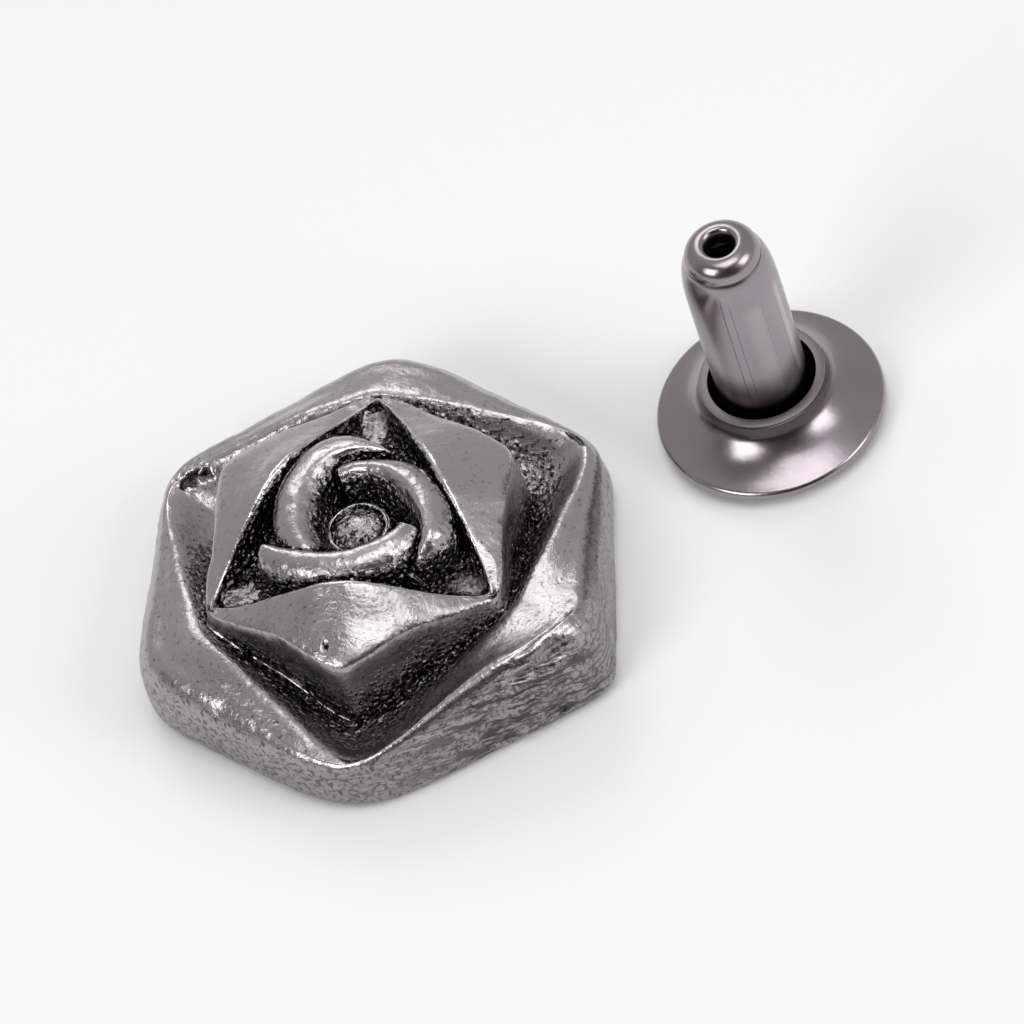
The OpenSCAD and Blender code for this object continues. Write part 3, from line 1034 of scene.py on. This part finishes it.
def line_group():
    """A fine drawn line along an upright tube whose axis is at the origin, from places in mm."""
    numbers = {"Way": 0.0, "Width": 0.02, "Low": 0.0, "High": 8.0}
    tree, given, result = new_group("lengthwise_line", numbers, ["Line"])
    parts = put(tree, "ShaderNodeSeparateXYZ")
    join(tree, given["Vector"], parts.inputs[0])
    z = parts.outputs["Z"]
    turn = calc(tree, "ARCTAN2", parts.outputs["Y"], parts.outputs["X"])
    off = calc(tree, "ABSOLUTE", calc(tree, "SUBTRACT", turn, given["Way"]))
    across = calc(tree, "DIVIDE", off, given["Width"])
    line = ease(tree, calc(tree, "SUBTRACT", 1.6, across), 0.0, 1.2)
    above = ease(tree, calc(tree, "SUBTRACT", z, given["Low"]), 0.0, 0.35)
    below = ease(tree, calc(tree, "SUBTRACT", given["High"], z), 0.0, 0.35)
    join(tree, calc(tree, "MULTIPLY", calc(tree, "MULTIPLY", line, above), below), result["Line"])
    lay_out(tree)


def shared_group(name):
    """One of the shared node groups, made when it is first asked for."""
    makers = {"metal_grain": grain_group, "rub_and_patina": rub_group, "lengthwise_line": line_group}
    if name not in bpy.data.node_groups:
        makers[name]()
    return bpy.data.node_groups[name]


def use_group(tree, name, **values):
    node = put(tree, "ShaderNodeGroup", node_tree=shared_group(name))
    for label, value in values.items():
        feed(tree, node.inputs[label], value)
    return node.outputs


def millimetres(tree, centre=(0.0, 0.0)):
    """Places in mm from an upright axis through the centre, given in mm."""
    coords = put(tree, "ShaderNodeTexCoord")
    mapping = put(tree, "ShaderNodeMapping")
    mapping.inputs["Scale"].default_value = (1 / MM, 1 / MM, 1 / MM)
    mapping.inputs["Location"].default_value = (-centre[0], -centre[1], 0.0)
    join(tree, coords.outputs["Object"], mapping.inputs["Vector"])
    return mapping.outputs["Vector"]


def new_material(name):
    material = bpy.data.materials.new(name)
    material.use_nodes = True
    return material, material.node_tree, material.node_tree.nodes["Principled BSDF"]


def read_value(tree, name):
    node = put(tree, "ShaderNodeAttribute", attribute_type="GEOMETRY", attribute_name=name)
    return node.outputs["Fac"]


def bump(tree, height, strength, depth, normal=None):
    node = put(tree, "ShaderNodeBump")
    node.inputs["Strength"].default_value = strength
    node.inputs["Distance"].default_value = depth
    join(tree, height, node.inputs["Height"])
    if normal is not None:
        join(tree, normal, node.inputs["Normal"])
    return node.outputs["Normal"]


def finish_material(tree, shader, colour, gloss, normal):
    join(tree, colour, shader.inputs["Base Color"])
    join(tree, gloss, shader.inputs["Roughness"])
    join(tree, normal, shader.inputs["Normal"])
    shader.inputs["Metallic"].default_value = 1.0
    lay_out(tree)


# the streaks' own axes: along them, out of the side and across them, each scaled to the size of the streaks
STREAK_AXES = ((0.858, 0.495, -0.139), (0.5, -0.866, 0.0), (0.121, 0.070, 0.990))
STREAK_GAINS = (1.2, 0.9, 6.2)


def streak_pattern(tree, place, share):
    """Dark streaks that run across the front right side of the cap."""
    combine = put(tree, "ShaderNodeCombineXYZ")
    for slot, axis, gain in zip(combine.inputs, STREAK_AXES, STREAK_GAINS):
        dot = put(tree, "ShaderNodeVectorMath", operation="DOT_PRODUCT")
        dot.inputs[1].default_value = tuple(v * gain for v in axis)
        join(tree, place, dot.inputs[0])
        join(tree, dot.outputs["Value"], slot)
    wisps = noise_texture(tree, combine.outputs["Vector"], 1.0, 4.0, 0.65)
    return calc(tree, "MULTIPLY", ease(tree, wisps, 0.47, 0.58), share)


# the grey of dirt and of painted shade, and the colour of the specks
GRIME_AND_SHADE_GREY = (0.215, 0.195, 0.205, 1.0)
SPECKLED = (0.070, 0.061, 0.065, 1.0)


def cast_material(settings):
    """Satin dark casting with a black finish in its hollows, rubbed edges, and dirt with painted shade on its
    outer sides.
    """
    material, tree, shader = new_material("cast_gunmetal")
    place = millimetres(tree)
    grime_and_shade = read_value(tree, "grime_and_shade")
    texture = use_group(tree, "metal_grain", Vector=place, Fine=7.0, Cloud=1.3, Pits=2.4, Grime=grime_and_shade)
    masks = use_group(
        tree, "rub_and_patina",
        Sharp=read_value(tree, "sharp"),
        Shelter=read_value(tree, "shelter"),
        Specks=texture["Specks"],
        Clouds=texture["Clouds"],
    )

    # flecks of bare metal in the black finish, and the dark cracks
    glint = noise_texture(tree, place, 8.0, 5.0, 0.7)
    bare = calc(tree, "MULTIPLY", ease(tree, glint, 0.48, 0.56), 0.85)
    black = calc(tree, "MULTIPLY", masks["Blackened"], calc(tree, "SUBTRACT", 1.0, bare))
    black = calc(tree, "MAXIMUM", black, read_value(tree, "crack"))

    streaks = streak_pattern(tree, place, read_value(tree, "streak"))
    dark = calc(tree, "MAXIMUM", calc(tree, "MULTIPLY", texture["Specks"], 0.78), streaks)
    # dirt and painted shade darken the satin metal
    plain = blend_colours(tree, calc(tree, "MULTIPLY", grime_and_shade, 0.55), tuple(settings.metal), GRIME_AND_SHADE_GREY)
    body = blend_colours(tree, dark, plain, SPECKLED)
    bright = blend_colours(tree, masks["Rubbed"], body, tuple(settings.worn))
    colour = blend_colours(tree, black, bright, tuple(settings.patina))

    gloss = calc(tree, "MULTIPLY_ADD", texture["Clouds"], 0.14, 0.205)
    gloss = calc(tree, "MULTIPLY_ADD", masks["Rubbed"], -0.08, gloss)
    gloss = calc(tree, "MULTIPLY_ADD", black, -0.02, gloss)

    hammered = cell_texture(tree, place, 6.5, "SMOOTH_F1")
    dents = calc(tree, "MULTIPLY", hammered, masks["Blackened"])
    relief = calc(tree, "MULTIPLY_ADD", streaks, -0.8, texture["Height"])
    skin = bump(tree, relief, 0.60, 0.032 * MM)
    finish_material(tree, shader, colour, gloss, bump(tree, dents, 1.0, 0.24 * MM, skin))
    return material


def add_up(tree, place, lines):
    """The sum of several lengthwise lines or bands, each with its own weight."""
    total = None
    for way, width, low, high, weight in lines:
        turned = {"Way": math.radians(way), "Width": math.radians(width)}
        one = use_group(tree, "lengthwise_line", Vector=place, Low=low, High=high, **turned)
        part = calc(tree, "MULTIPLY", one["Line"], weight)
        total = part if total is None else calc(tree, "ADD", total, part)
    return total


def plated_base(name, colour):
    """Smooth dark plating with a fine grain and faint clouds, round the post's axis."""
    material, tree, shader = new_material(name)
    place = millimetres(tree, POST_CENTRE)
    texture = use_group(tree, "metal_grain", Vector=place, Fine=6.0, Cloud=0.7, Pits=1.3)
    base = blend_colours(tree, texture["Clouds"], tuple(colour), toned(colour, 0.80, 0.79, 0.80))
    return material, tree, shader, place, texture, base


PLATED_GLOSS = 0.20
PLATED_BUMP = (0.25, 0.012 * MM)
# height in mm below which the stem is darkened down towards the collar by painted shade
PAINTED_SHADE_TOP = 3.9


def stem_material(colour, lines, bands):
    """The stem's plating: fine drawn lines, soft lengthwise bands of painted reflection, and painted shade
    towards the collar.
    """
    material, tree, shader, place, texture, base = plated_base("stem_steel", colour)
    total = add_up(tree, place, lines)
    base = blend_colours(tree, calc(tree, "MULTIPLY", total, 0.75), base, toned(colour, 0.22, 0.20, 0.21))
    # painted shade: the plating darkens towards the collar, standing in for the dark reflection of the gap
    foot = ease(tree, calc(tree, "SUBTRACT", PAINTED_SHADE_TOP, height_of(tree, place)), 0.0, 1.7)
    base = blend_colours(tree, calc(tree, "MULTIPLY", foot, 0.86), base, toned(colour, 0.16, 0.14, 0.15))
    # painted reflections: dark bands darken the plating, and bright ones, under 0, lighten it as painted
    # highlights
    tone = add_up(tree, place, bands)
    base = blend_colours(tree, calc(tree, "MAXIMUM", tone, 0.0), base, toned(colour, 0.30, 0.28, 0.29))
    light = calc(tree, "MAXIMUM", calc(tree, "MULTIPLY", tone, -1.0), 0.0)
    base = blend_colours(tree, light, base, toned(colour, 1.9, 1.95, 1.9))
    gloss = calc(tree, "MULTIPLY_ADD", texture["Clouds"], 0.08, PLATED_GLOSS)
    height = calc(tree, "MULTIPLY_ADD", total, -1.6, texture["Height"])
    finish_material(tree, shader, base, gloss, bump(tree, height, *PLATED_BUMP))
    return material


def shell_material(colour, low, high):
    """The post cap's plating: a grey cut edge from low to high on the collar, and a painted shadow in a band
    under the collar.
    """
    material, tree, shader, place, texture, base = plated_base("shell_steel", colour)
    z = height_of(tree, place)
    cut = ease(tree, z, low, high)
    base = blend_colours(tree, cut, base, toned(colour, 0.62, 0.60, 0.61))
    # painted shadow: darker in a band under the collar's lip
    above = ease(tree, z, low - 0.62, low - 0.35)
    below = calc(tree, "SUBTRACT", 1.0, ease(tree, z, low - 0.06, low))
    painted_shadow = calc(tree, "MULTIPLY", calc(tree, "MULTIPLY", above, below), 0.80)
    base = blend_colours(tree, painted_shadow, base, toned(colour, 0.10, 0.09, 0.095))
    gloss = calc(tree, "MULTIPLY_ADD", cut, 0.22, PLATED_GLOSS)
    gloss = calc(tree, "MULTIPLY_ADD", texture["Clouds"], 0.08, gloss)
    finish_material(tree, shader, base, gloss, bump(tree, texture["Height"], *PLATED_BUMP))
    return material


# Operators


def dress(obj, crease_angle, material):
    """Shades a piece smooth up to an angle in degrees between its faces, and gives it its material."""
    pick(obj)
    bpy.ops.object.shade_smooth_by_angle(angle=math.radians(crease_angle))
    obj.data.materials.clear()
    obj.data.materials.append(material)


class RIVET_OT_rose_cap(Operator):
    """Model the cast rose cap and give it its worn black finish"""

    bl_idname = "rivet.rose_cap"
    bl_label = "Rose Cap"

    def execute(self, context):
        settings = context.scene.rivet_rose_cap
        relief = make_relief(settings.columns)
        parts = []
        for turn, first, last, slant, *tables in CURLS:
            curl = make_curl(settings.curl_height / MM, first, last, slant, tables)
            curl.data.transform(Matrix.Rotation(math.radians(turn), 4, "Z"))
            parts.append(curl)
        parts.append(make_bud())
        for part in parts:
            apply_modifier(relief, "BOOLEAN", operation="UNION", solver="EXACT", object=part)
            bpy.data.objects.remove(part)
        fold = [Vector(p) for p in FOLD_LOW] + [Vector((x, y, 3.2)) for x, y in FOLD_LINE]
        holes = [Vector(middle) for middle, _, _ in HOLES + PITS]
        for marks, reach in ((fold, 0.60), (holes, 0.5)):
            refine_near(relief, lambda c: min((c - p).length for p in marks) < reach, 2)
        mesh = relief.data
        round_edges(mesh, 16)
        store_finish(mesh, *weather_casting(mesh, settings.fold_depth / MM))
        for name in ("column", "ring"):
            if name in mesh.attributes:
                mesh.attributes.remove(mesh.attributes[name])
        mesh.transform(Matrix.Scale(MM, 4))
        relief.name = "cast_rose_cap"
        mesh.name = "cast_rose_cap"
        dress(relief, 50, cast_material(settings))
        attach(relief, "root")
        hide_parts("rose_cap")
        return {"FINISHED"}


# the taper under the tip (inwards from the stem's side, and down from the top), and the hole in the tip
# (out from the axis, and down from the top)
STEM_TAPER = ((0.01, 1.9), (0.035, 1.45), (0.08, 1.1), (0.14, 0.85), (0.205, 0.68), (0.25, 0.60))
TIP_FUNNEL = ((0.545, 0.02), (0.495, 0.07), (0.455, 0.15), (0.43, 0.27), (0.425, 0.45), (0.52, 0.76))
DOME_R = 0.61
DOME_HIGH = 0.60
# fine drawn lines, and soft bands of painted reflection along the stem, dark ones painted shade and bright
# ones
# painted highlight: direction, width in degrees, lowest z, distance of the highest from the top, and
# strength, which is under 0 for a bright band
STEM_LINES = (
    (-93.5, 0.60, 1.0, 0.95, 0.9), (-83.5, 0.50, 1.0, 1.15, 0.7), (-45.0, 0.9, 2.0, 1.6, 0.22),
    (-22.0, 0.8, 2.4, 1.9, 0.30), (-12.0, 0.5, 2.4, 1.5, 0.22),
)
STEM_REFLECTION_BANDS = (
    (-146.0, 9.0, 1.0, 0.9, 0.42), (-124.0, 5.0, 2.2, 1.2, -0.22), (-110.0, 5.0, 1.0, 1.3, 0.12),
    (-58.0, 11.0, 2.6, 1.6, -0.16), (-14.0, 4.5, 2.6, 1.5, -0.40), (2.0, 5.0, 1.0, 1.2, 0.20),
)


def stem_profile(r, high, flange):
    """Outline of half the stem's section: flange, foot, taper, rolled tip with its hole, and bore."""
    foot = [(r + 0.25, FLANGE_TOP), (r + 0.10, 0.74), (r + 0.04, 0.96), (r, 1.9), (r, 3.5), (r, 5.2)]
    taper = [(r, 5.2)] + [(r - inward, high - down) for inward, down in STEM_TAPER]
    tip = []
    for turn in range(0, 91, 15):
        t = math.radians(turn)
        tip.append((DOME_R + (r - 0.875) * math.cos(t), high - DOME_HIGH * (1 - math.sin(t))))
    tip += [(across, high - down) for across, down in TIP_FUNNEL]
    tip += [(r - STEM_WALL - 0.14, high - 0.97), (r - STEM_WALL, high - 1.35)]
    start = [(r - STEM_WALL, SHELL_T), (flange, SHELL_T), (flange, FLANGE_TOP)]
    return start + sharp_curve(foot, 3)[:-1] + sharp_curve(taper, 4) + sharp_curve(tip, 4)


class RIVET_OT_post_stem(Operator):
    """Model the drawn stem with its rolled-in tip"""

    bl_idname = "rivet.post_stem"
    bl_label = "Post Stem"

    def execute(self, context):
        settings = context.scene.rivet_post
        r = settings.stem_across / MM / 2
        high = settings.height / MM
        flange = settings.across / MM / 2 - SHELL_T - 0.12
        obj = spun_piece("drawn_stem", stem_profile(r, high, flange), POST_CENTRE, 128)
        lines, bands = (
            [(way, width, low, high - down, weight) for way, width, low, down, weight in rows]
            for rows in (STEM_LINES, STEM_REFLECTION_BANDS)
        )
        dress(obj, 38, stem_material(settings.metal, lines, bands))
        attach(obj, "root")
        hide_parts("post_stem")
        return {"FINISHED"}


# the upper side of the post cap, from its rim up to the collar: inwards from the rim, and height
BELL = (
    (0.003, 0.53), (0.03, 0.595), (0.09, 0.65), (0.22, 0.70), (0.38, 0.765), (0.55, 0.845), (0.75, 0.95),
    (0.92, 1.05), (1.08, 1.16), (1.22, 1.27), (1.33, 1.37), (1.42, 1.48), (1.48, 1.60), (1.52, 1.73),
    (1.55, 1.87),
)


def shell_profile(cap, stem_r):
    """Outline of half the post cap's section: underside, rim, bell, collar, and back down on the inside."""
    inner = stem_r + COLLAR_GAP
    outer = inner + SHELL_T - 0.08
    rim = [(cap - 1.0, 0), (cap - 0.60, 0.06), (cap - 0.28, 0.17), (cap - 0.09, 0.31), (cap, 0.45)]
    lip = [(outer - 0.035, 1.90), (outer - 0.01, 1.925), (outer + 0.01, 1.945), (outer, COLLAR_Z - 0.015)]
    edge = [(outer - 0.03, COLLAR_Z), (inner + 0.02, COLLAR_Z)]
    inside = [
        (inner, COLLAR_Z - 0.02), (inner, 1.30), (inner + 0.10, 1.10), (inner + 0.42, 0.95),
        (cap - 1.14, 0.80), (cap - 0.80, FLANGE_TOP),
    ]
    flange = cap - SHELL_T - 0.08
    hollow = [(flange, FLANGE_TOP), (flange, SHELL_T), (0, SHELL_T)]
    bell = sharp_curve([(cap - inward, z) for inward, z in BELL], 4)
    return [(0, 0)] + sharp_curve(rim, 4) + bell + lip + edge + sharp_curve(inside, 4) + hollow


class RIVET_OT_post_shell(Operator):
    """Model the stamped cap of the post, folded over the stem's flange and flared into a collar"""

    bl_idname = "rivet.post_shell"
    bl_label = "Post Cap"

    def execute(self, context):
        settings = context.scene.rivet_post
        cap = settings.across / MM / 2
        profile = shell_profile(cap, settings.stem_across / MM / 2)
        obj = spun_piece("stamped_cap", profile, POST_CENTRE, 144)
        dress(obj, 32, shell_material(settings.metal, COLLAR_Z - 0.03, COLLAR_Z - 0.01))
        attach(obj, "root")
        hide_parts("post_shell")
        return {"FINISHED"}


# Stage


# the camera as fitted to the photograph: azimuth, elevation and roll in degrees, and mm
CAMERA_TURN = (21.946, 51.727, -20.583)
CAMERA_AIM = (3.554, 3.077, 0.0)
CAMERA_FAR = 241.418
# lamps: direction and height in degrees, distance, width and height in metres, and strength
LAMPS = {
    "lamp_over": (-38, 80, 0.32, 0.18, 0.18, 2.8),
    "lamp_left": (-124, 36, 0.34, 0.16, 0.18, 4.6),
    "lamp_right": (-9, 33, 0.34, 0.15, 0.16, 3.5),
    "lamp_back": (112, 41, 0.34, 0.15, 0.14, 2.6),
}
ROOM_GREY = (0.515, 0.515, 0.515, 1.0)
ROOM_DIM = (0.05, 0.05, 0.05, 1.0)
DIM_WAY = (-0.13, -0.94, 0.32)


def camera_axes():
    """Right, up and back of the camera in the photograph, and the point it looks at."""
    az, el, roll = (math.radians(v) for v in CAMERA_TURN)
    back = Vector((math.sin(az) * math.cos(el), -math.cos(az) * math.cos(el), math.sin(el)))
    right = (-back).cross(Vector((0, 0, 1))).normalized()
    up = right.cross(-back)
    turned = right * math.cos(roll) + up * math.sin(roll)
    upward = up * math.cos(roll) - right * math.sin(roll)
    return turned, upward, back, Vector(CAMERA_AIM) * MM


def soft_box(name, way, height, far, width, tall, radiance, level):
    """A rectangular lamp at a compass direction and height in degrees, aimed at the rivet."""
    data = bpy.data.lights.new(name, "AREA")
    data.shape = "RECTANGLE"
    data.size = width
    data.size_y = tall
    data.energy = radiance * level * math.pi * width * tall
    obj = bpy.data.objects.new(name, data)
    bpy.context.scene.collection.objects.link(obj)
    a, e = math.radians(way), math.radians(height)
    out = Vector((math.cos(a) * math.cos(e), math.sin(a) * math.cos(e), math.sin(e)))
    obj.location = Vector((0.004, 0.001, 0.0)) + out * far
    obj.rotation_euler = out.to_track_quat("Z", "Y").to_euler()
    return obj


class RIVET_OT_stage(Operator):
    """Set up the pale floor, the soft lamps, the surroundings and the camera"""

    bl_idname = "rivet.stage"
    bl_label = "Stage"

    def execute(self, context):
        settings = context.scene.rivet_stage
        deselect_all()
        bpy.ops.mesh.primitive_plane_add(size=6.0, location=(0, 0, -0.02 * MM))
        floor = context.object
        floor.name = "floor"
        material, tree, shader = new_material("pale_floor")
        shader.inputs["Base Color"].default_value = tuple(settings.floor_colour)
        shader.inputs["Roughness"].default_value = 0.9
        shader.inputs["Specular IOR Level"].default_value = 0.1
        floor.data.materials.append(material)

        level = settings.light_level
        for name, values in LAMPS.items():
            soft_box(name, *values, level)

        world = bpy.data.worlds.new("soft_room")
        context.scene.world = world
        world.use_nodes = True
        nodes = world.node_tree
        ground = nodes.nodes["Background"]
        coords = put(nodes, "ShaderNodeTexCoord")
        dot = put(nodes, "ShaderNodeVectorMath", operation="DOT_PRODUCT")
        dot.inputs[1].default_value = DIM_WAY
        join(nodes, coords.outputs["Generated"], dot.inputs[0])
        dim = ease(nodes, dot.outputs["Value"], 0.30, 0.70)
        shade = blend_colours(nodes, dim, ROOM_GREY, ROOM_DIM)
        join(nodes, shade, ground.inputs["Color"])
        ground.inputs["Strength"].default_value = 1.0
        lay_out(nodes)

        right, up, back, aim = camera_axes()
        data = bpy.data.cameras.new("camera")
        data.sensor_width = 36.0
        data.lens = settings.lens
        data.clip_start = 0.01
        data.clip_end = 20.0
        camera = bpy.data.objects.new("camera", data)
        context.scene.collection.objects.link(camera)
        columns = (right, up, back, aim + back * CAMERA_FAR * MM)
        rows = [[column[k] for column in columns] for k in range(3)]
        camera.matrix_world = Matrix(rows + [[0, 0, 0, 1]])
        context.scene.camera = camera
        context.scene.view_settings.view_transform = "Standard"
        return {"FINISHED"}


class RIVET_PT_sidebar(Panel):
    """The rivet's pieces and settings in the sidebar"""

    bl_label = "Leather Rivet"
    bl_idname = "RIVET_PT_sidebar"
    bl_space_type = "VIEW_3D"
    bl_region_type = "UI"
    bl_category = "Rivet"

    def draw(self, context):
        layout = self.layout
        scene = context.scene
        cap_names = ("columns", "curl_height", "metal", "worn", "patina", "fold_depth")
        post_names = ("across", "stem_across", "height", "metal")
        sections = (
            (scene.rivet_rose_cap, cap_names, ("rivet.rose_cap",)),
            (scene.rivet_post, post_names, ("rivet.post_stem", "rivet.post_shell")),
            (scene.rivet_stage, ("floor_colour", "light_level", "lens"), ("rivet.stage",)),
        )
        for settings, names, operators in sections:
            box = layout.box()
            for name in names:
                box.prop(settings, name)
            for operator in operators:
                box.operator(operator)


CLASSES = (
    RoseCapSettings,
    PostSettings,
    StageSettings,
    RIVET_OT_rose_cap,
    RIVET_OT_post_stem,
    RIVET_OT_post_shell,
    RIVET_OT_stage,
    RIVET_PT_sidebar,
)


def register():
    for cls in CLASSES:
        bpy.utils.register_class(cls)
    bpy.types.Scene.rivet_rose_cap = PointerProperty(type=RoseCapSettings)
    bpy.types.Scene.rivet_post = PointerProperty(type=PostSettings)
    bpy.types.Scene.rivet_stage = PointerProperty(type=StageSettings)


def unregister():
    del bpy.types.Scene.rivet_stage
    del bpy.types.Scene.rivet_post
    del bpy.types.Scene.rivet_rose_cap
    for cls in reversed(CLASSES):
        bpy.utils.unregister_class(cls)


def main():
    register()
    bpy.ops.rivet.rose_cap()
    bpy.ops.rivet.post_stem()
    bpy.ops.rivet.post_shell()
    bpy.ops.rivet.stage()


if __name__ == "__main__":
    main()
